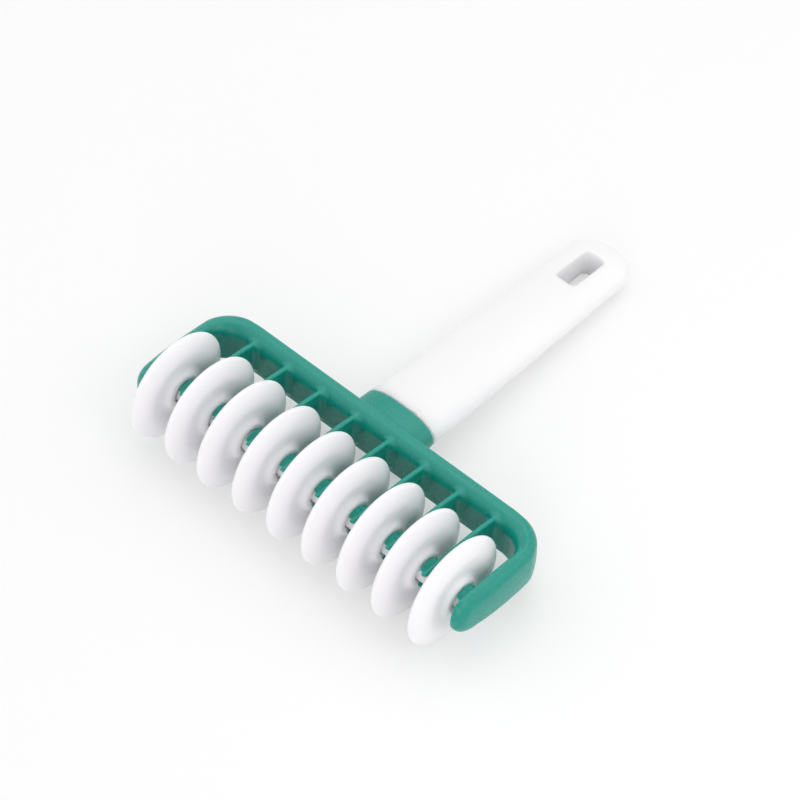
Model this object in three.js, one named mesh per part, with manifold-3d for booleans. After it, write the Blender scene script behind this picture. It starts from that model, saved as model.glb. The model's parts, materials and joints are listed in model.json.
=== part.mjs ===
// Pastry roller cutter: nine plump discs turn on one axle, held in a comb frame with a sleeve handle.
// Millimetres. The tool is built about its axle: X along the axle, Y towards the handle, Z up.
// It is then laid down as it rests, on its discs and the end of its handle, with the table at Z = 0.

import * as THREE from 'three';
import { mergeVertices } from 'three/addons/utils/BufferGeometryUtils.js';
import Module from 'manifold-3d';

// Roller discs: a rounded rim, a swollen band, a shallow valley and a raised hub, alike on both faces
const discCount = 9;
const discPitch = 14;
const discDiameter = 37.4;
const rimWidth = 1.2;
const shoulderInset = 2.2;
const shoulderWidth = 3.8;
const bandWidth = 5.6;
const valleyWidth = 4.6;
const hubWidth = 7.6;
const hubFaceRun = 2.3;
const hubSlopeRun = 2.6;
const discSegments = 32;

// Axle: one plain rod through every disc and clip, its ends blind in the two arms
const axleDiameter = 7;
const axleRunningGap = 0.3;
const socketDepth = 2.2;
const axleSegments = 20;

// The frame and the handle share one middle plane, a little below the axle
const bodyDrop = 1.6;

// Comb frame: two end arms, a back beam and one thin rib between each pair of discs
const armThickness = 4.2;
const frameHeight = 14.6;
const armTipHeight = 13.4;
const armTipReach = 1;
const edgeRound = 1.6;
const beamThickness = 6.2;
const beamReach = 26.1;
const outerCorner = 9;
const innerCorner = 10;
const ribThickness = 1.9;
const ribNose = 5.5;
const ribTopInset = 0.1;
const ribBottomInset = 2.6;
const clipWall = 1.1;
const bossGap = 0.35;
const armBossHeight = 2.3;
const throatReach = 2.5;
const throatRise = 2.9;
const throatDrop = 2.4;
const upperLead = 0.65;
const lowerLead = 0.5;
const roundSteps = 6;

// Handle: a tapered oval grip with a hanging slot, pushed over a spigot on the back of the frame
const collarLength = 7.4;
const handleLength = 100.6;
const handleMouthWidth = 27;
const handleEndWidth = 22.4;
const handleThickness = 12.7;
const endCorner = 8;
const gripSegments = 32;
const partingGap = 0.3;
const spigotLength = 34;
const spigotWidth = 15;
const spigotThickness = 5.2;
const slotWidth = 7.6;
const slotLength = 16;
const slotCorner = 2;
const slotEndWall = 8.9;

// Places worked out from the sizes above
const discRadius = discDiameter / 2;
const axleRadius = axleDiameter / 2;
const boreRadius = axleRadius + axleRunningGap;
const clipRadius = boreRadius + clipWall;
const firstDiscX = (-(discCount - 1) / 2) * discPitch;
const armInnerX = -firstDiscX + hubWidth / 2 + bossGap + armBossHeight;
const armOuterX = armInnerX + armThickness;
const beamBackY = beamReach + beamThickness;
const mouthY = beamBackY + collarLength;
const handleStartY = mouthY + partingGap;
const handleEndY = handleStartY + handleLength;
const slotEndY = handleEndY - slotEndWall;
const frameTopZ = frameHeight / 2 - bodyDrop;
const frameBottomZ = -frameHeight / 2 - bodyDrop;

// Margin by which a cutting shape runs past what it cuts
const past = 5;

const wasm = await Module();
wasm.setup();

// A closed geometry as a solid for joining and cutting
function solidFrom(geometry) {
  const bare = geometry.clone();
  bare.deleteAttribute('normal');
  bare.deleteAttribute('uv');
  const merged = mergeVertices(bare, 1e-4);
  const vertProperties = new Float32Array(merged.attributes.position.array);
  const triVerts = new Uint32Array(merged.index.array);
  return new wasm.Manifold(new wasm.Mesh({ numProp: 3, vertProperties, triVerts }));
}

// A solid back as a geometry
function geometryFrom(solid) {
  const mesh = solid.getMesh();
  const geometry = new THREE.BufferGeometry();
  geometry.setAttribute('position', new THREE.BufferAttribute(new Float32Array(mesh.vertProperties), 3));
  geometry.setIndex(new THREE.BufferAttribute(new Uint32Array(mesh.triVerts), 1));
  return geometry;
}

// A block between two corners
function block(low, high) {
  const size = high.map((value, i) => value - low[i]);
  const middle = high.map((value, i) => (value + low[i]) / 2);
  return solidFrom(new THREE.BoxGeometry(...size).translate(...middle));
}

// A round bar along X
function roundBar(radius, x0, x1, segments) {
  const bar = new THREE.CylinderGeometry(radius, radius, x1 - x0, segments);
  return solidFrom(bar.rotateZ(Math.PI / 2).translate((x0 + x1) / 2, 0, 0));
}

// An outline drawn in plan, X and Y, made a slab between two heights with its edges rounded
function planSlab(outline, z0, z1, round) {
  const slab = new THREE.ExtrudeGeometry(outline, {
    depth: z1 - z0 - 2 * round,
    bevelEnabled: round > 0,
    bevelThickness: round,
    bevelSize: round,
    bevelOffset: -round,
    bevelSegments: 2,
    curveSegments: roundSteps,
  });
  return solidFrom(slab.translate(0, 0, z0 + round));
}

// An outline drawn in side view, Y and Z, made a plate between two places along X with rounded edges
function sidePlate(outline, x0, x1, round) {
  const plate = new THREE.ExtrudeGeometry(outline, {
    depth: x1 - x0 - 2 * round,
    bevelEnabled: round > 0,
    bevelThickness: round,
    bevelSize: round,
    bevelOffset: -round,
    bevelSegments: 2,
    curveSegments: 2 * roundSteps,
  });
  const turned = new THREE.Matrix4().makeBasis(
    new THREE.Vector3(0, 1, 0),
    new THREE.Vector3(0, 0, 1),
    new THREE.Vector3(1, 0, 0),
  );
  return solidFrom(plate.applyMatrix4(turned).translate(x0 + round, 0, 0));
}

// One roller disc about the axle, by turning its half section
function discGeometry() {
  const hubRadius = boreRadius + hubFaceRun;
  const valleyRadius = hubRadius + hubSlopeRun;
  const shoulderRadius = discRadius - shoulderInset;
  const bandRadius = (valleyRadius + shoulderRadius) / 2;
  const face = [
    [boreRadius, hubWidth / 2],
    [hubRadius, hubWidth / 2],
    [valleyRadius, valleyWidth / 2],
    [bandRadius, bandWidth / 2],
    [shoulderRadius, shoulderWidth / 2],
    [discRadius, rimWidth / 2],
  ];
  const farFace = face.map(([radius, half]) => [radius, -half]).reverse();
  const section = [...face, ...farFace, face[0]];
  const points = section.reverse().map(([radius, half]) => new THREE.Vector2(radius, half));
  return new THREE.LatheGeometry(points, discSegments).rotateZ(-Math.PI / 2);
}

// Plan of the arms and beam: a U with round outer and inner corners, open at the front
function frameOutline() {
  const frontY = -armTipHeight - past;
  const outline = new THREE.Shape();
  outline.moveTo(-armOuterX, frontY);
  outline.lineTo(-armInnerX, frontY);
  outline.lineTo(-armInnerX, beamReach - innerCorner);
  outline.absarc(-armInnerX + innerCorner, beamReach - innerCorner, innerCorner, Math.PI, Math.PI / 2, true);
  outline.lineTo(armInnerX - innerCorner, beamReach);
  outline.absarc(armInnerX - innerCorner, beamReach - innerCorner, innerCorner, Math.PI / 2, 0, true);
  outline.lineTo(armInnerX, frontY);
  outline.lineTo(armOuterX, frontY);
  outline.lineTo(armOuterX, beamBackY - outerCorner);
  outline.absarc(armOuterX - outerCorner, beamBackY - outerCorner, outerCorner, 0, Math.PI / 2, false);
  outline.lineTo(-armOuterX + outerCorner, beamBackY);
  outline.absarc(-armOuterX + outerCorner, beamBackY - outerCorner, outerCorner, Math.PI / 2, Math.PI, false);
  outline.closePath();
  return outline;
}

// Side view of the frame: a level top, and a bottom that rises along the arms to their half-round tips,
// which stand a little ahead of the axle
function armOutline() {
  const tipRadius = armTipHeight / 2;
  const outline = new THREE.Shape();
  outline.moveTo(-armTipReach, frameTopZ - armTipHeight);
  outline.lineTo(beamReach, frameBottomZ);
  outline.lineTo(beamBackY + past, frameBottomZ);
  outline.lineTo(beamBackY + past, frameTopZ);
  outline.lineTo(-armTipReach, frameTopZ);
  outline.absarc(-armTipReach, frameTopZ - tipRadius, tipRadius, Math.PI / 2, (3 * Math.PI) / 2, false);
  return outline;
}

// Side view of a rib: its top is level, and its nose is square above the axle and round below
function ribOutline() {
  const backY = beamReach + beamThickness / 2;
  const top = frameTopZ - ribTopInset;
  const bottom = frameBottomZ + ribBottomInset;
  const outline = new THREE.Shape();
  outline.moveTo(0, -ribNose);
  outline.lineTo(backY, bottom);
  outline.lineTo(backY, top);
  outline.lineTo(-ribNose, top);
  outline.lineTo(-ribNose, 0);
  outline.absarc(0, 0, ribNose, Math.PI, (3 * Math.PI) / 2, false);
  return outline;
}

// The mouth through which the axle snaps in from the front, between two places along X: it widens towards the front
function clipMouth(x0, x1) {
  const frontY = -ribNose - past;
  const upper = (y) => throatRise - upperLead * (y + throatReach);
  const lower = (y) => -throatDrop + lowerLead * (y + throatReach);
  const outline = new THREE.Shape();
  outline.moveTo(0, lower(0));
  outline.lineTo(0, upper(0));
  outline.lineTo(frontY, upper(frontY));
  outline.lineTo(frontY, lower(frontY));
  outline.closePath();
  return sidePlate(outline, x0, x1, 0);
}

// A bar of the grip's oval section along Y, tapering to its round end: a turned bar, flattened to an oval
function gripBar() {
  const startY = beamReach + beamThickness / 2;
  const taper = (handleMouthWidth - handleEndWidth) / 2 / handleLength;
  const half = (y) => handleMouthWidth / 2 - taper * (y - handleStartY);
  const turnY = handleEndY - endCorner;
  const cornerX = half(turnY) - endCorner;
  const profile = new THREE.Path();
  profile.moveTo(0, startY);
  profile.lineTo(half(startY), startY);
  profile.lineTo(half(turnY), turnY);
  profile.absarc(cornerX, turnY, endCorner, 0, Math.PI / 2, false);
  profile.lineTo(0, handleEndY);
  const bar = new THREE.LatheGeometry(profile.getPoints(roundSteps), gripSegments);
  return solidFrom(bar.scale(1, 1, handleThickness / handleMouthWidth).translate(0, 0, -bodyDrop));
}

// A block that keeps everything between two places along Y
function keepY(y0, y1) {
  const wide = armOuterX + past;
  const tall = discRadius + past;
  return block([-wide, y0, -tall], [wide, y1, tall]);
}

// The spigot that plugs the handle, or with a clearance the socket that takes it
function spigotBar(clearance) {
  const half = spigotWidth / 2 + clearance;
  const up = spigotThickness / 2 + clearance;
  const y0 = mouthY - collarLength / 2;
  const y1 = mouthY + spigotLength + clearance;
  return block([-half, y0, -bodyDrop - up], [half, y1, -bodyDrop + up]);
}

// The hanging slot through the handle, square to it, with round corners
function slotCutter() {
  const half = slotWidth / 2;
  const y0 = slotEndY - slotLength;
  const outline = new THREE.Shape();
  outline.moveTo(-half + slotCorner, y0);
  outline.absarc(half - slotCorner, y0 + slotCorner, slotCorner, -Math.PI / 2, 0, false);
  outline.absarc(half - slotCorner, slotEndY - slotCorner, slotCorner, 0, Math.PI / 2, false);
  outline.absarc(-half + slotCorner, slotEndY - slotCorner, slotCorner, Math.PI / 2, Math.PI, false);
  outline.absarc(-half + slotCorner, y0 + slotCorner, slotCorner, Math.PI, (3 * Math.PI) / 2, false);
  outline.closePath();
  const reach = handleThickness / 2 + past;
  return planSlab(outline, -bodyDrop - reach, -bodyDrop + reach, 0);
}

// The whole comb frame: arms and beam, ribs with clips, end bosses, collar and spigot in one moulding
function frameGeometry() {
  const plan = planSlab(frameOutline(), frameBottomZ, frameTopZ, edgeRound);
  let frame = plan.intersect(sidePlate(armOutline(), -armOuterX, armOuterX, edgeRound));
  const bossReach = discPitch / 2 - hubWidth / 2 - bossGap;
  for (let i = 0; i < discCount - 1; i += 1) {
    const x = firstDiscX + (i + 0.5) * discPitch;
    frame = frame.add(sidePlate(ribOutline(), x - ribThickness / 2, x + ribThickness / 2, 0));
    frame = frame.add(roundBar(clipRadius, x - bossReach, x + bossReach, axleSegments));
  }
  for (const side of [-1, 1]) {
    const ends = [side * (armInnerX - armBossHeight), side * (armInnerX + edgeRound)];
    frame = frame.add(roundBar(clipRadius, Math.min(...ends), Math.max(...ends), axleSegments));
  }
  const socketX = armInnerX + socketDepth;
  frame = frame.subtract(roundBar(boreRadius, -socketX, socketX, axleSegments));
  frame = frame.subtract(clipMouth(-armInnerX, armInnerX));
  frame = frame.add(gripBar().intersect(keepY(beamReach, mouthY)));
  return geometryFrom(frame.add(spigotBar(0)));
}

// The handle: the grip behind the collar, with the spigot's socket and the hanging slot
function handleGeometry() {
  const grip = gripBar().intersect(keepY(handleStartY, handleEndY + past));
  return geometryFrom(grip.subtract(spigotBar(partingGap)).subtract(slotCutter()));
}

// The axle, short of the blind ends of its sockets by the running gap
function axleGeometry() {
  const half = armInnerX + socketDepth - axleRunningGap;
  return new THREE.CylinderGeometry(axleRadius, axleRadius, 2 * half, axleSegments).rotateZ(Math.PI / 2);
}

// The tilt at which the end of the handle comes down to the level of the discs
function restTilt(geometry) {
  const points = geometry.attributes.position;
  const lowest = (tilt) => {
    let low = Infinity;
    for (let i = 0; i < points.count; i += 1) {
      low = Math.min(low, points.getZ(i) * Math.cos(tilt) - points.getY(i) * Math.sin(tilt));
    }
    return low;
  };
  let level = 0;
  let steep = Math.PI / 4;
  for (let step = 0; step < 40; step += 1) {
    const middle = (level + steep) / 2;
    if (lowest(middle) > -discRadius) level = middle;
    else steep = middle;
  }
  return level;
}

const whitePlastic = { color: 0xf2f2f1, roughness: 0.35, metalness: 0 };
const greenPlastic = { color: 0x1f9a83, roughness: 0.4, metalness: 0 };

function piece(name, geometry, finish) {
  const mesh = new THREE.Mesh(geometry, new THREE.MeshStandardMaterial(finish));
  mesh.name = name;
  return mesh;
}

const handle = handleGeometry();
const tool = new THREE.Group();
tool.add(piece('comb_frame', frameGeometry(), greenPlastic));
tool.add(piece('handle', handle, whitePlastic));
tool.add(piece('axle', axleGeometry(), whitePlastic));
for (let i = 0; i < discCount; i += 1) {
  const disc = piece(`roller_disc_${i + 1}`, discGeometry(), whitePlastic);
  disc.position.x = firstDiscX + i * discPitch;
  tool.add(disc);
}

// Laid at rest, with the origin on the table under the middle of the whole tool
const rollerCutter = new THREE.Group();
const tilt = restTilt(handle);
tool.rotation.x = -tilt;
rollerCutter.add(tool);
rollerCutter.updateMatrixWorld(true);
const reach = new THREE.Box3().setFromObject(rollerCutter, true);
tool.position.set(0, -(reach.min.y + reach.max.y) / 2, discRadius);
rollerCutter.updateMatrixWorld(true);

export default rollerCutter;
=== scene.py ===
import json
import math

import bpy
import numpy as np
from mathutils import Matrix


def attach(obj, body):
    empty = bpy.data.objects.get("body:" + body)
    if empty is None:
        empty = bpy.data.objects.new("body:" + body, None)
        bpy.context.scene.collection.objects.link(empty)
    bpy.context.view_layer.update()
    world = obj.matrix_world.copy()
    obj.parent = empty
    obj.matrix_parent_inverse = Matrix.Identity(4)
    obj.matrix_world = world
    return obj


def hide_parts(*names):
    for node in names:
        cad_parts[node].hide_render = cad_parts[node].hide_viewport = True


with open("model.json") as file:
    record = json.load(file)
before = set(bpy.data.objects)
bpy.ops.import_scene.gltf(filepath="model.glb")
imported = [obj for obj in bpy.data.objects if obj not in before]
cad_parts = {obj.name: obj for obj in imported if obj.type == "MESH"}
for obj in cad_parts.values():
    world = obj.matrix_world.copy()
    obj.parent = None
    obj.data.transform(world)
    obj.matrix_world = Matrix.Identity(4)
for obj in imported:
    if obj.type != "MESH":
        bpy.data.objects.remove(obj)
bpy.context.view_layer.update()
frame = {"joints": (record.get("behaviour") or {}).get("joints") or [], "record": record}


# Comb frame
# One injection moulding in satin teal-green plastic: a back beam, two end arms and a thin rib
# between each pair of discs. Every rib ends in a snap-in clip for the axle, and an oval collar
# behind the beam carries the handle.

# Sizes are millimetres about the middle of the axle: X along it, Y towards the handle, Z up from
# the frame's own plane.
millimetre = 0.001
disc_pitch = 14.0
rib_count = 8
body_drop = 1.6
frame_height = 14.6
frame_top = frame_height / 2 - body_drop
frame_bottom = -frame_height / 2 - body_drop

arm_inner = 62.5
arm_outer = 66.65
arm_middle = (arm_inner + arm_outer) / 2
arm_tip_height = 13.4
arm_tip_reach = 1.4
arm_tip_squareness = 2.5
arm_crown = 0.6
arm_crown_middle = -2.5
arm_bow = 0.6
arm_bow_middle = 9.0
arm_bow_reach = 15.0
arm_bow_floor = -0.4
arm_inner_round = 0.6
arm_outer_round = 3.2
arm_tip_round = 3.6
arm_bottom_round = 1.5
arm_tip_bottom_round = 2.8
tip_blend_start = 8.0
tip_blend_end = -6.0

beam_reach = 26.5
beam_back = 32.3
beam_middle = (beam_reach + beam_back) / 2
beam_blend = 12.0
beam_inner_round = 4.0
beam_inner_fall = 5.5
beam_outer_round = 1.0
wall_lean = -0.3
inner_corner = 10.0
outer_corner = 10.2
corner_round = 2.8
corner_blend_start = 4.0
corner_blend_end = 16.0

rib_half = 0.9
rib_draft = 0.15
rib_nose = 5.5
rib_nose_round = 0.6
rib_top_drop = 0.1
rib_top = frame_top - rib_top_drop
rib_level_reach = 14.0
rib_fall_radius = 75.0
rib_bottom_rise = 2.6
rib_bottom = frame_bottom + rib_bottom_rise
rib_edge_round = 0.85
rib_fillet = 2.4
rib_top_fillet = 0.8
rib_fillet_growth = 2.5

clip_radius = 4.9
clip_half = 2.85
clip_edge_round = 0.35
clip_fillet = 0.5
arm_boss_height = 2.35
bore_radius = 3.7
socket_depth = 2.15
throat_reach = 2.5
throat_rise = 2.9
throat_drop = 2.4
upper_lead = 0.65
lower_lead = 0.5
mouth_web = 0.6
mouth_edge_round = 0.25

mouth_plane = 39.7
collar_edge_round = 0.35
collar_fillet = 0.9
grip_mouth_width = 27.0
grip_mouth_thickness = 12.7
grip_flatness = grip_mouth_width / grip_mouth_thickness
grip_mouth_half = grip_mouth_width / 2
grip_end_half = 11.2
grip_squareness = 2.3
handle_start = 40.0
handle_end = 140.6

axle_centre = np.array(next(j["pos_m"] for j in frame["joints"] if j["name"] == "disc_5_spin"))
mounts = frame["record"]["mounts"]
hang_axis = next(m["axis"] for m in mounts if m["name"] == "hang_slot_end")
rest_tilt = math.atan2(hang_axis[2], -hang_axis[1])


def lay_down(points):
    """Points in millimetres about the axle, turned down about X by the rest tilt and moved to
    where the axle lies."""
    x, y, z = points.T
    turned_y = y * math.cos(rest_tilt) + z * math.sin(rest_tilt)
    turned_z = z * math.cos(rest_tilt) - y * math.sin(rest_tilt)
    return np.stack([x, turned_y, turned_z], axis=1) * millimetre + axle_centre


def round_cut(a, b, radius):
    """What two depths both hold: the greater depth, with the edge between them turned to a
    quarter round."""
    past = np.hypot(np.maximum(a + radius, 0), np.maximum(b + radius, 0))
    return np.minimum(np.maximum(a, b), -radius) + past


def round_join(a, b, radius):
    """What either of two depths holds: the lesser depth, with the corner between them filled to
    a quarter round."""
    near = np.hypot(np.maximum(radius - a, 0), np.maximum(radius - b, 0))
    return np.maximum(np.minimum(a, b), radius) - near


def ease(value, start, end):
    """A smooth step from 0 at start and before it to 1 at end and past it, level at both."""
    share = np.clip((value - start) / (end - start), 0, 1)
    return share * share * (3 - 2 * share)


def grip_half(y):
    """Half the grip's width: a straight taper from its mouth to its end."""
    share = (y - handle_start) / (handle_end - handle_start)
    return grip_mouth_half + (grip_end_half - grip_mouth_half) * share


def grip_reach(x, z):
    """How far out a point lies on the grip's oval section, as a half width: a rounded-square
    norm of x and z."""
    across = np.abs(x)
    upright = np.abs(z + body_drop) * grip_flatness
    return (across**grip_squareness + upright**grip_squareness) ** (1 / grip_squareness)


def comb_depth(x, y, z):
    """Depth under the comb frame's skin, negative inside. The bar is the room between an inner
    and an outer plan corner, under a level top and over a bottom that rises to squarish round
    arm tips. Its arms bow out and are crowned, and its beam has a wide, squat round along the
    inner edge, over a wall that is slightly undercut. Ribs with level tops that fall a little at
    the beam, clips, bosses and collar are joined on with fillets, and those of the ribs shrink
    towards the top, where all is cut level. Then the axle's bore and the clips' mouths are cut."""
    side_x = np.abs(x)
    lean = wall_lean * np.clip((z - frame_bottom) / frame_height, 0, 1)
    inner = -round_cut(side_x - arm_inner, y - beam_reach - lean, inner_corner)
    tip_radius = arm_tip_height / 2
    off_middle = (z - frame_top + tip_radius) / tip_radius
    crown = arm_crown * ((z - arm_crown_middle) / tip_radius) ** 2
    bow = arm_bow * np.maximum(1 - ((y - arm_bow_middle) / arm_bow_reach) ** 2, arm_bow_floor)
    outer = round_cut(side_x - arm_outer - bow + crown, y - beam_back, outer_corner)
    ahead = np.minimum(y + arm_tip_reach, 0)
    tip = np.abs(ahead) ** arm_tip_squareness
    tip = tip + np.abs(off_middle * tip_radius) ** arm_tip_squareness
    tip = tip ** (1 / arm_tip_squareness) - tip_radius
    rise = (frame_height - arm_tip_height) * np.clip(1 - y / beam_reach, 0, 1)
    side = np.where(ahead < 0, tip, np.maximum(z - frame_top, frame_bottom + rise - z))

    upper = ease(z, frame_bottom, frame_top)
    on_beam = ease(y, beam_reach - beam_blend, beam_reach)
    inner_round = arm_inner_round + (beam_inner_round - arm_inner_round) * on_beam * upper
    squat = 1 + (beam_inner_round / beam_inner_fall - 1) * on_beam * upper
    at_tip = ease(y, tip_blend_start, tip_blend_end)
    past_corner = ease(arm_outer - side_x, corner_blend_start, corner_blend_end)
    outer_bottom = arm_bottom_round + (arm_tip_bottom_round - arm_bottom_round) * at_tip
    outer_top = arm_outer_round + (arm_tip_round - arm_outer_round) * at_tip
    outer_top = outer_top + (corner_round - outer_top) * on_beam
    outer_top = outer_top + (beam_outer_round - outer_top) * past_corner
    outer_round = outer_bottom + (outer_top - outer_bottom) * upper
    body = round_cut(inner, side * squat, inner_round)
    body = np.maximum(body, round_cut(outer, side, outer_round))

    bay = np.clip(np.floor(x / disc_pitch), -rib_count / 2, rib_count / 2 - 1)
    rib_x = np.abs(x - (bay + 0.5) * disc_pitch)
    share = np.clip(y / beam_back, 0, 1)
    rib_under = np.hypot(np.minimum(y, 0), np.minimum(z, 0))
    rib_under = rib_under - rib_nose - (-rib_bottom - rib_nose) * share
    rib_fall = np.maximum(y - rib_level_reach, 0) ** 2 / (2 * rib_fall_radius)
    rib_side = round_cut(z - rib_top + rib_fall, rib_under, rib_nose_round)
    rib_wall = rib_half + rib_draft * (0.5 - upper)
    rib = round_cut(rib_x - rib_wall, rib_side, rib_edge_round)
    rib = np.maximum(rib, y - beam_middle)
    lower_down = ease(rib_top - z, 0, rib_fillet_growth)
    fillet = rib_top_fillet + (rib_fillet - rib_top_fillet) * lower_down
    body = np.maximum(round_join(body, rib, fillet), z - frame_top)

    about_axle = np.hypot(y, z)
    clip = round_cut(about_axle - clip_radius, rib_x - clip_half, clip_edge_round)
    body = round_join(body, clip, clip_fillet)
    boss_end = arm_inner - arm_boss_height - side_x
    boss = round_cut(about_axle - clip_radius, boss_end, clip_edge_round)
    boss = np.maximum(boss, side_x - arm_middle)
    body = round_join(body, boss, clip_fillet)

    collar = round_cut(grip_reach(x, z) - grip_half(y), y - mouth_plane, collar_edge_round)
    collar = np.maximum(collar, beam_middle - y)
    body = round_join(body, collar, collar_fillet)

    bore = np.maximum(about_axle - bore_radius, side_x - arm_inner - socket_depth)
    inside_throat = y + throat_reach
    upper_lip = (z - throat_rise + upper_lead * inside_throat) / math.hypot(1, upper_lead)
    lower_lip = (-z - throat_drop + lower_lead * inside_throat) / math.hypot(1, lower_lead)
    mouth = np.maximum(np.maximum(upper_lip, lower_lip), y)
    mouth = np.maximum(mouth, side_x - arm_inner + mouth_web)
    return round_cut(body, -np.minimum(bore, mouth), mouth_edge_round)


skin_turns = 6
skin_evening_turns = 3
skin_slope_share = 20
skin_least_steepness = 0.05
normal_reach = 0.02
edge_reach = 0.35


def slope_of(depth, points, reach):
    """The slope of a depth at points, by central differences over a short reach along each
    axis."""
    steps = np.eye(3) * reach
    rises = [depth(*(points + step).T) - depth(*(points - step).T) for step in steps]
    return np.stack(rises, axis=1) / (2 * reach)


def moulded_skin(depth, low, high, step):
    """The surface where a depth is zero: a vertex in each grid cell that it crosses, at the mean
    of the crossings on the cell's edges, and a quad round each grid edge that it crosses. The
    vertices are evened towards the middles of their quads, then drawn down the slope onto the
    surface, in turns."""
    axes = [np.arange(start, end + step, step) for start, end in zip(low, high)]
    value = depth(*np.meshgrid(*axes, indexing="ij"))
    shape = np.array(value.shape)
    total = np.zeros((*(shape - 1), 3))
    count = np.zeros(shape - 1)
    crossings = []
    for axis in range(3):
        first = np.moveaxis(value, axis, 0)[:-1]
        second = np.moveaxis(value, axis, 0)[1:]
        crossed = (first < 0) != (second < 0)
        share = np.where(crossed, first / np.where(crossed, first - second, 1), 0)
        crossed = np.moveaxis(crossed, 0, axis)
        crossings.append((crossed, np.moveaxis(first < 0, 0, axis)))
        indices = [np.arange(length) for length in crossed.shape]
        place = np.stack(np.meshgrid(*indices, indexing="ij"), axis=-1).astype(float)
        place[..., axis] += np.moveaxis(share, 0, axis)
        place *= crossed[..., None]
        across = [other for other in range(3) if other != axis]
        for corner in range(4):
            window = [slice(None)] * 3
            window[across[0]] = slice(corner % 2, corner % 2 + shape[across[0]] - 1)
            window[across[1]] = slice(corner // 2, corner // 2 + shape[across[1]] - 1)
            total += place[tuple(window)]
            count += crossed[tuple(window)]
    number = np.where(count > 0, np.cumsum(count > 0).reshape(count.shape) - 1, -1)
    points = np.array(low) + step * total[count > 0] / count[count > 0][:, None]

    quads = []
    for axis in range(3):
        crossed, from_inside = crossings[axis]
        second, third = (axis + 1) % 3, (axis + 2) % 3
        edges = np.argwhere(crossed)
        inner_edge = (edges[:, second] > 0) & (edges[:, second] < shape[second] - 1)
        inner_edge &= (edges[:, third] > 0) & (edges[:, third] < shape[third] - 1)
        edges = edges[inner_edge]
        ring = np.repeat(edges[:, None, :], 4, axis=1)
        ring[:, [0, 3], second] -= 1
        ring[:, [0, 1], third] -= 1
        quad = number[ring[..., 0], ring[..., 1], ring[..., 2]]
        outward = from_inside[tuple(edges.T)]
        quads.append(np.where(outward[:, None], quad, quad[:, ::-1]))
    faces = np.concatenate(quads)

    corners = faces.ravel()
    meets = np.bincount(corners)[:, None]
    for turn in range(skin_turns):
        if turn < skin_evening_turns:
            middles = np.repeat(points[faces].mean(axis=1), 4, axis=0)
            evened = np.stack([np.bincount(corners, along) for along in middles.T], axis=1) / meets
            points = points + (evened - points) / 2
        slope = slope_of(depth, points, step / skin_slope_share)
        steep = np.maximum((slope**2).sum(axis=1), skin_least_steepness)
        move = -(depth(*points.T) / steep)[:, None] * slope
        points = points + np.clip(move, -step / 2, step / 2)
    return points, faces


def edge_sharpness(depth, points, reach):
    """How sharply the skin turns, as one over a radius: the sum of the depth's second
    differences along the axes."""
    sides = np.eye(3) * reach
    around = sum(depth(*(points + side).T) + depth(*(points - side).T) for side in sides)
    return (around - 6 * depth(*points.T)) / reach**2


def facing(depth, points):
    """Unit normals of a depth's skin, laid down with it: the slope of the depth turned by the
    rest tilt."""
    slope = slope_of(depth, points, normal_reach)
    normals = lay_down(slope) - axle_centre
    return normals / np.linalg.norm(normals, axis=1)[:, None]


def new_piece(name, points, faces, edge, normals=None):
    """A smooth mesh object at the origin from points in metres and faces, with its edge
    sharpness, and its own normals if given."""
    mesh = bpy.data.meshes.new(name)
    mesh.from_pydata(points.tolist(), [], faces.tolist())
    mesh.shade_smooth()
    if normals is not None:
        mesh.normals_split_custom_set_from_vertices(normals.tolist())
    edge_values = mesh.attributes.new("edge", "FLOAT", "POINT").data
    edge_values.foreach_set("value", edge.astype(np.float32))
    piece = bpy.data.objects.new(name, mesh)
    bpy.context.scene.collection.objects.link(piece)
    return piece


finish_scuff_dullness = 0.12
finish_wear_dullness = 0.12
finish_flow_height = 3.0
finish_bump_strength = 0.5


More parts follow.
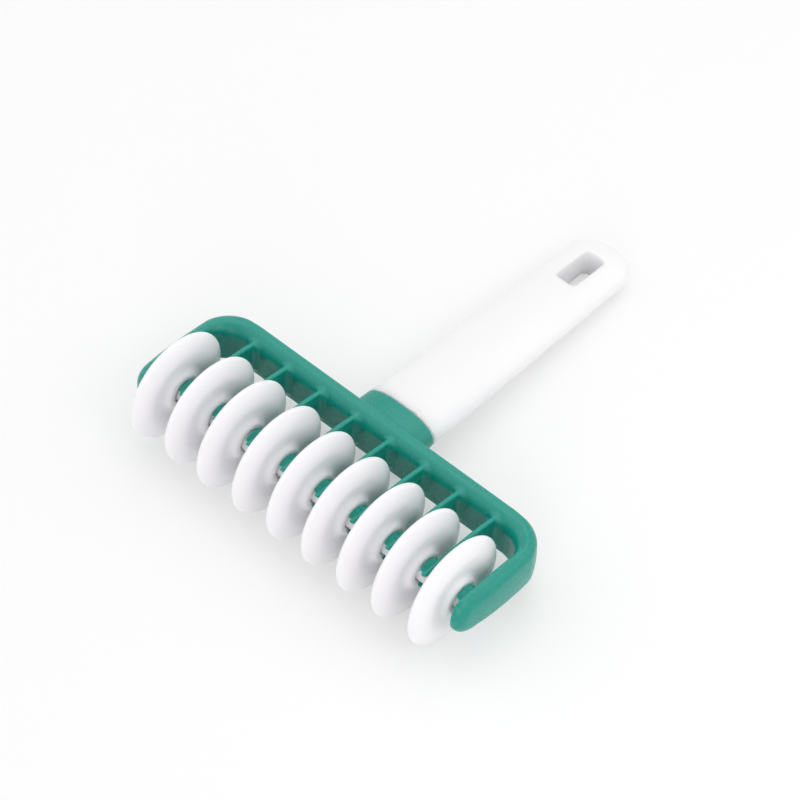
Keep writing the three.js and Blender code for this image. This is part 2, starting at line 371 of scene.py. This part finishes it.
def moulded_finish_group():
    """The skin of a moulded plastic: broad faint flow mottling, a fine grain in the gloss and
    the height, and a touch of paler, duller wear where the edge mask is high."""
    group = bpy.data.node_groups.new("moulded_finish", "ShaderNodeTree")
    for socket, kind, value in [
        ("Colour", "NodeSocketColor", (0.5, 0.5, 0.5, 1)),
        ("Worn Colour", "NodeSocketColor", (0.6, 0.6, 0.6, 1)),
        ("Edge", "NodeSocketFloat", 0.0),
        ("Gloss Roughness", "NodeSocketFloat", 0.35),
        ("Mottle", "NodeSocketFloat", 0.04),
    ]:
        made = group.interface.new_socket(socket, in_out="INPUT", socket_type=kind)
        made.default_value = value
    group.interface.new_socket("Colour", in_out="OUTPUT", socket_type="NodeSocketColor")
    group.interface.new_socket("Roughness", in_out="OUTPUT", socket_type="NodeSocketFloat")
    group.interface.new_socket("Height", in_out="OUTPUT", socket_type="NodeSocketFloat")
    nodes, links = group.nodes, group.links
    given = nodes.new("NodeGroupInput")
    result = nodes.new("NodeGroupOutput")
    where = nodes.new("ShaderNodeTexCoord")

    def noise(scale, detail, roughness):
        made = nodes.new("ShaderNodeTexNoise")
        made.inputs["Scale"].default_value = scale
        made.inputs["Detail"].default_value = detail
        made.inputs["Roughness"].default_value = roughness
        links.new(where.outputs["Object"], made.inputs["Vector"])
        return made.outputs["Fac"]

    def maths(operation, first, second):
        made = nodes.new("ShaderNodeMath")
        made.operation = operation
        for socket, value in zip(made.inputs, (first, second)):
            if isinstance(value, (int, float)):
                socket.default_value = value
            else:
                links.new(value, socket)
        return made.outputs["Value"]

    def spread(source, low, high):
        made = nodes.new("ShaderNodeMapRange")
        made.interpolation_type = "SMOOTHSTEP"
        made.inputs["From Min"].default_value = low
        made.inputs["From Max"].default_value = high
        links.new(source, made.inputs["Value"])
        return made.outputs["Result"]

    flow = noise(scale=38, detail=3, roughness=0.55)
    grain = noise(scale=2600, detail=2, roughness=0.6)
    scuff = noise(scale=420, detail=4, roughness=0.65)
    lift = maths("MULTIPLY", maths("SUBTRACT", flow, 0.5), given.outputs["Mottle"])
    shade = nodes.new("ShaderNodeHueSaturation")
    links.new(maths("ADD", lift, 1.0), shade.inputs["Value"])
    links.new(given.outputs["Colour"], shade.inputs["Color"])
    on_edge = spread(given.outputs["Edge"], low=0.35, high=1.6)
    wear = maths("MULTIPLY", on_edge, spread(scuff, low=0.35, high=0.75))
    worn = nodes.new("ShaderNodeMix")
    worn.data_type = "RGBA"
    links.new(wear, worn.inputs["Factor"])
    links.new(shade.outputs["Color"], worn.inputs["A"])
    links.new(given.outputs["Worn Colour"], worn.inputs["B"])
    links.new(worn.outputs["Result"], result.inputs["Colour"])
    dull = maths("MULTIPLY", maths("SUBTRACT", scuff, 0.5), finish_scuff_dullness)
    rough = maths("ADD", given.outputs["Gloss Roughness"], dull)
    rough = maths("ADD", rough, maths("MULTIPLY", wear, finish_wear_dullness))
    links.new(rough, result.inputs["Roughness"])
    height = maths("ADD", maths("MULTIPLY", flow, finish_flow_height), grain)
    links.new(height, result.inputs["Height"])
    return group


moulded_finish = moulded_finish_group()


def moulded_plastic(name, colour, worn_colour, roughness, mottle, grain_depth):
    """A plastic whose colour, roughness and fine bump come from the shared moulded finish."""
    material = bpy.data.materials.new(name)
    material.use_nodes = True
    nodes, links = material.node_tree.nodes, material.node_tree.links
    shader = nodes["Principled BSDF"]
    skin = nodes.new("ShaderNodeGroup")
    skin.node_tree = moulded_finish
    skin.inputs["Colour"].default_value = (*colour, 1)
    skin.inputs["Worn Colour"].default_value = (*worn_colour, 1)
    skin.inputs["Gloss Roughness"].default_value = roughness
    skin.inputs["Mottle"].default_value = mottle
    edge = nodes.new("ShaderNodeAttribute")
    edge.attribute_name = "edge"
    links.new(edge.outputs["Fac"], skin.inputs["Edge"])
    bump = nodes.new("ShaderNodeBump")
    bump.inputs["Distance"].default_value = grain_depth
    bump.inputs["Strength"].default_value = finish_bump_strength
    links.new(skin.outputs["Height"], bump.inputs["Height"])
    links.new(skin.outputs["Colour"], shader.inputs["Base Color"])
    links.new(skin.outputs["Roughness"], shader.inputs["Roughness"])
    links.new(bump.outputs["Normal"], shader.inputs["Normal"])
    return material


def let_light_in(material, weight, reach, shares):
    """Light that enters a plastic and comes out nearby: its weight, its reach in metres, and the
    shares of that reach for red, green and blue."""
    shader = material.node_tree.nodes["Principled BSDF"]
    shader.inputs["Subsurface Weight"].default_value = weight
    shader.inputs["Subsurface Scale"].default_value = reach
    shader.inputs["Subsurface Radius"].default_value = shares
    return shader


comb_step = 0.42
comb_margin = 1.0
comb_front = -arm_tip_height / 2 - arm_tip_reach
comb_low = (-arm_outer - comb_margin, comb_front - comb_margin, frame_bottom - comb_margin)
comb_high = (arm_outer + comb_margin, mouth_plane + comb_margin, frame_top + comb_margin)
comb_points, comb_quads = moulded_skin(comb_depth, comb_low, comb_high, comb_step)
comb_edge = edge_sharpness(comb_depth, comb_points, edge_reach)
comb_normals = facing(comb_depth, comb_points)
comb_frame = new_piece(
    "comb_frame_moulding", lay_down(comb_points), comb_quads, comb_edge, comb_normals)
teal = moulded_plastic(
    "teal_plastic", colour=(0.0045, 0.30, 0.237), worn_colour=(0.008, 0.31, 0.248),
    roughness=0.28, mottle=0.04, grain_depth=0.00001)
teal_shader = let_light_in(teal, weight=0.6, reach=0.003, shares=(0.3, 1, 0.8))
teal_shader.inputs["Specular IOR Level"].default_value = 0.42
comb_frame.data.materials.append(teal)
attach(comb_frame, "frame")
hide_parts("comb_frame")


# Axle
# A plain white plastic rod, pushed into the clips' mouths from the front until they snap round
# it. Its ends lie blind in the two arms, and between a disc's hub and a clip a short length shows.

axle_radius = 3.5
axle_half = 64.35
axle_chamfer = 0.4
axle_turns = 48


def turned_about_axle(along, radius, turns, closed):
    """A section turned about X: each section point, a place along the axle and a radius, swept
    round a full circle. A closed section joins its last point to its first; an open one has its
    two end rings filled, strip by strip."""
    angle = np.arange(turns) * 2 * np.pi / turns
    ring = np.stack([np.ones(turns), np.cos(angle), np.sin(angle)], axis=1)
    points = np.stack([along, radius, radius], axis=1)[:, None, :] * ring[None, :, :]
    rows = len(along)
    row = np.arange(rows if closed else rows - 1)[:, None]
    column = np.arange(turns)[None, :]
    after = (column + 1) % turns
    here, over = row * turns, (row + 1) % rows * turns
    quads = np.stack([here + column, over + column, over + after, here + after], axis=-1)
    quads = quads.reshape(-1, 4)
    if not closed:
        strip = np.arange(turns // 2 - 1)
        cap = np.stack([strip, strip + 1, turns - 2 - strip, turns - 1 - strip], axis=1)
        quads = np.concatenate([quads, cap, cap[:, ::-1] + (rows - 1) * turns])
    return points.reshape(-1, 3), quads


axle_end_along = np.array([axle_half, axle_half - axle_chamfer])
axle_end_out = np.array([axle_radius - axle_chamfer, axle_radius])
axle_along = np.concatenate([axle_end_along, -axle_end_along[::-1]])
axle_out = np.concatenate([axle_end_out, axle_end_out[::-1]])
axle_points, axle_quads = turned_about_axle(axle_along, axle_out, axle_turns, closed=False)
axle = new_piece("axle_rod", lay_down(axle_points), axle_quads, np.zeros(len(axle_points)))
white_roller = moulded_plastic(
    "white_roller_plastic", colour=(0.905, 0.888, 0.912), worn_colour=(0.91, 0.905, 0.92),
    roughness=0.32, mottle=0.02, grain_depth=0.000015)
let_light_in(white_roller, weight=0.8, reach=0.004, shares=(1, 1, 1))
axle.data.materials.append(white_roller)
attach(axle, "frame")
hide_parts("axle")


# Roller discs
# Nine alike, moulded in smooth white plastic and threaded on the axle, each free to turn between
# two clips. A blunt round rim runs into a swollen band, then a shallow valley and a raised hub
# that keeps the discs apart.

disc_turns = 128
disc_section_points = 192
middle_disc = 5

# Radius and half thickness at the control points of one face, from the hub out to the rim.
disc_face = [
    (4.2, 3.8),
    (5.0, 3.82),
    (5.7, 3.85),
    (6.3, 3.45),
    (7.0, 2.45),
    (8.4, 2.0),
    (10.4, 2.5),
    (12.8, 2.9),
    (15.4, 2.35),
    (17.2, 1.5),
    (18.45, 0.8),
    (18.71, 0.25),
]
disc_bore = 3.8
disc_bore_end = 3.77
disc_bore_reach = 3.3
disc_bore_land = 1.5

# How far each disc has slid along the axle in the play between its clips.
disc_settled = [0.0, 0.3, -0.3, 0.2, 0.3, 0.3, 0.3, 0.0, 0.3]


def soft_curve(controls, count):
    """A closed cubic spline that runs smoothly inside its control points, as evenly spaced spans
    of four points."""
    controls = np.array(controls)
    share = np.arange(count) * len(controls) / count
    span = share.astype(int)
    t = (share - span)[:, None]
    weights = [(1 - t) ** 3, 3 * t**3 - 6 * t**2 + 4, -3 * t**3 + 3 * t**2 + 3 * t + 1, t**3]
    return sum(w * controls[(span + i) % len(controls)] for i, w in enumerate(weights)) / 6


mirrored_face = [(out, -along) for out, along in reversed(disc_face)]
disc_bore_side = [
    (disc_bore_end, -disc_bore_reach),
    (disc_bore, -disc_bore_land),
    (disc_bore, disc_bore_land),
    (disc_bore_end, disc_bore_reach),
]
disc_section = soft_curve(disc_face + mirrored_face + disc_bore_side, disc_section_points)
disc_out, disc_along = disc_section.T
disc_points, disc_quads = turned_about_axle(disc_along, disc_out, disc_turns, closed=True)
disc_edge = np.zeros(len(disc_points))
for number, settled in enumerate(disc_settled, start=1):
    place = np.array([(number - middle_disc) * disc_pitch + settled, 0, 0])
    disc = new_piece(
        f"roller_disc_{number}_moulding", lay_down(disc_points + place), disc_quads, disc_edge)
    disc.data.materials.append(white_roller)
    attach(disc, f"disc_{number}")
    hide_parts(f"roller_disc_{number}")


# Handle
# One white plastic moulding pushed over the frame's collar end: a flat oval grip that tapers to
# a round end, with a slot through the end to hang it by. A fine joint line shows where its mouth
# meets the green collar.

handle_corner = 8.0
slot_half = 3.8
slot_end = 131.7
slot_length = 16.0
slot_corner = 2.0
slot_edge_round = 1.1
handle_mouth_round = 0.35


def handle_depth(x, y, z):
    """Depth under the handle's skin: the oval section's reach against the taper, rounded into
    the end, square at the mouth, less a slot with round corners that is cut straight through."""
    grip = round_cut(grip_reach(x, z) - grip_half(y), y - handle_end, handle_corner)
    grip = round_cut(grip, handle_start - y, handle_mouth_round)
    slot_y = np.abs(y - slot_end + slot_length / 2) - slot_length / 2
    slot = round_cut(np.abs(x) - slot_half, slot_y, slot_corner)
    return round_cut(grip, -slot, slot_edge_round)


handle_step = 0.5
handle_margin = 1
handle_wide = grip_mouth_half + handle_margin
handle_thick = grip_mouth_half / grip_flatness
handle_low = (-handle_wide, handle_start - handle_margin, -body_drop - handle_thick - handle_margin)
handle_high = (handle_wide, handle_end + handle_margin, -body_drop + handle_thick + handle_margin)
handle_points, handle_quads = moulded_skin(handle_depth, handle_low, handle_high, handle_step)
handle_edge = edge_sharpness(handle_depth, handle_points, edge_reach)
handle_normals = facing(handle_depth, handle_points)
handle = new_piece(
    "handle_moulding", lay_down(handle_points), handle_quads, handle_edge, handle_normals)
white_handle = moulded_plastic(
    "white_handle_plastic", colour=(0.895, 0.89, 0.90), worn_colour=(0.91, 0.91, 0.91),
    roughness=0.36, mottle=0.02, grain_depth=0.00002)
let_light_in(white_handle, weight=0.9, reach=0.005, shares=(1, 1, 1))
handle.data.materials.append(white_handle)
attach(handle, "frame")
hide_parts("handle")


# Studio
# A white sweep of floor under a white sky, with five softboxes round it, the broadest two
# overhead and on the left, and the camera where the photographer stood: a long lens looking down
# past the near end of the axle.

floor_half = 3.0
floor_whitening = 0.38
sky_strength = 0.62
camera_elevation = 51.44
camera_azimuth = 42.47


def seen_rays(nodes, links):
    """A mask that is 1 for rays that show a surface, from the camera, a reflection or a clear
    piece, and 0 for rays that only carry light."""
    path = nodes.new("ShaderNodeLightPath")
    mirrored = nodes.new("ShaderNodeMath")
    mirrored.operation = "MAXIMUM"
    links.new(path.outputs["Is Glossy Ray"], mirrored.inputs[0])
    links.new(path.outputs["Is Transmission Ray"], mirrored.inputs[1])
    seen = nodes.new("ShaderNodeMath")
    seen.operation = "MAXIMUM"
    links.new(path.outputs["Is Camera Ray"], seen.inputs[0])
    links.new(mirrored.outputs["Value"], seen.inputs[1])
    return seen.outputs["Value"]


floor_mesh = bpy.data.meshes.new("floor")
floor_corners = np.array([(-1, -1, 0), (1, -1, 0), (1, 1, 0), (-1, 1, 0)]) * floor_half
floor_mesh.from_pydata(floor_corners.tolist(), [], [(0, 1, 2, 3)])
floor = bpy.data.objects.new("floor", floor_mesh)
bpy.context.scene.collection.objects.link(floor)
floor_paint = bpy.data.materials.new("floor_paint")
floor_paint.use_nodes = True
floor_nodes, floor_links = floor_paint.node_tree.nodes, floor_paint.node_tree.links
floor_shade = floor_nodes["Principled BSDF"]
floor_shade.inputs["Base Color"].default_value = (0.94, 0.94, 0.94, 1)
floor_shade.inputs["Roughness"].default_value = 0.9
floor_shade.inputs["Specular IOR Level"].default_value = 0.0
floor_white = floor_nodes.new("ShaderNodeEmission")
floor_share = floor_nodes.new("ShaderNodeMath")
floor_share.operation = "MULTIPLY"
floor_share.inputs[1].default_value = floor_whitening
floor_mix = floor_nodes.new("ShaderNodeMixShader")
floor_links.new(seen_rays(floor_nodes, floor_links), floor_share.inputs[0])
floor_links.new(floor_share.outputs["Value"], floor_mix.inputs["Fac"])
floor_links.new(floor_shade.outputs["BSDF"], floor_mix.inputs[1])
floor_links.new(floor_white.outputs["Emission"], floor_mix.inputs[2])
floor_links.new(floor_mix.outputs["Shader"], floor_nodes["Material Output"].inputs["Surface"])
floor_mesh.materials.append(floor_paint)

sky = bpy.data.worlds.new("sky")
sky.use_nodes = True
sky_nodes, sky_links = sky.node_tree.nodes, sky.node_tree.links
sky_light = sky_nodes["Background"]
sky_light.inputs["Color"].default_value = (1, 1, 1, 1)
sky_light.inputs["Strength"].default_value = sky_strength
sky_seen = sky_nodes.new("ShaderNodeBackground")
sky_seen.inputs["Color"].default_value = (1, 1, 1, 1)
sky_mix = sky_nodes.new("ShaderNodeMixShader")
sky_links.new(seen_rays(sky_nodes, sky_links), sky_mix.inputs["Fac"])
sky_links.new(sky_light.outputs["Background"], sky_mix.inputs[1])
sky_links.new(sky_seen.outputs["Background"], sky_mix.inputs[2])
sky_links.new(sky_mix.outputs["Shader"], sky_nodes["World Output"].inputs["Surface"])
bpy.context.scene.world = sky


def softbox(name, place, size, power):
    """A square area lamp at a place, turned to face the origin."""
    data = bpy.data.lights.new(name, "AREA")
    data.shape = "SQUARE"
    data.size = size
    data.energy = power
    lamp = bpy.data.objects.new(name, data)
    x, y, z = place
    lamp.location = place
    lamp.rotation_euler = (math.atan2(math.hypot(x, y), z), 0, math.atan2(x, -y))
    bpy.context.scene.collection.objects.link(lamp)


softbox("top_softbox", place=(-0.12, 0.37, 1.18), size=1.2, power=4.6)
softbox("front_right_softbox", place=(0.75, -1.2, 0.6), size=0.8, power=4.0)
softbox("left_softbox", place=(-1.2, -0.65, 0.95), size=1.6, power=3.6)
softbox("back_right_softbox", place=(0.8, 0.8, 0.7), size=0.8, power=1.2)
softbox("near_softbox", place=(0.36, -0.08, 0.42), size=0.25, power=0.28)

camera_data = bpy.data.cameras.new("camera")
camera_data.lens = 139.9
camera_data.sensor_width = 36
camera_data.clip_end = 20
camera = bpy.data.objects.new("camera", camera_data)
camera.location = (0.3927, -0.4505, 0.7522)
camera.rotation_euler = (math.radians(90 - camera_elevation), 0, math.radians(camera_azimuth))
bpy.context.scene.collection.objects.link(camera)
bpy.context.scene.camera = camera
bpy.context.scene.view_settings.view_transform = "Standard"
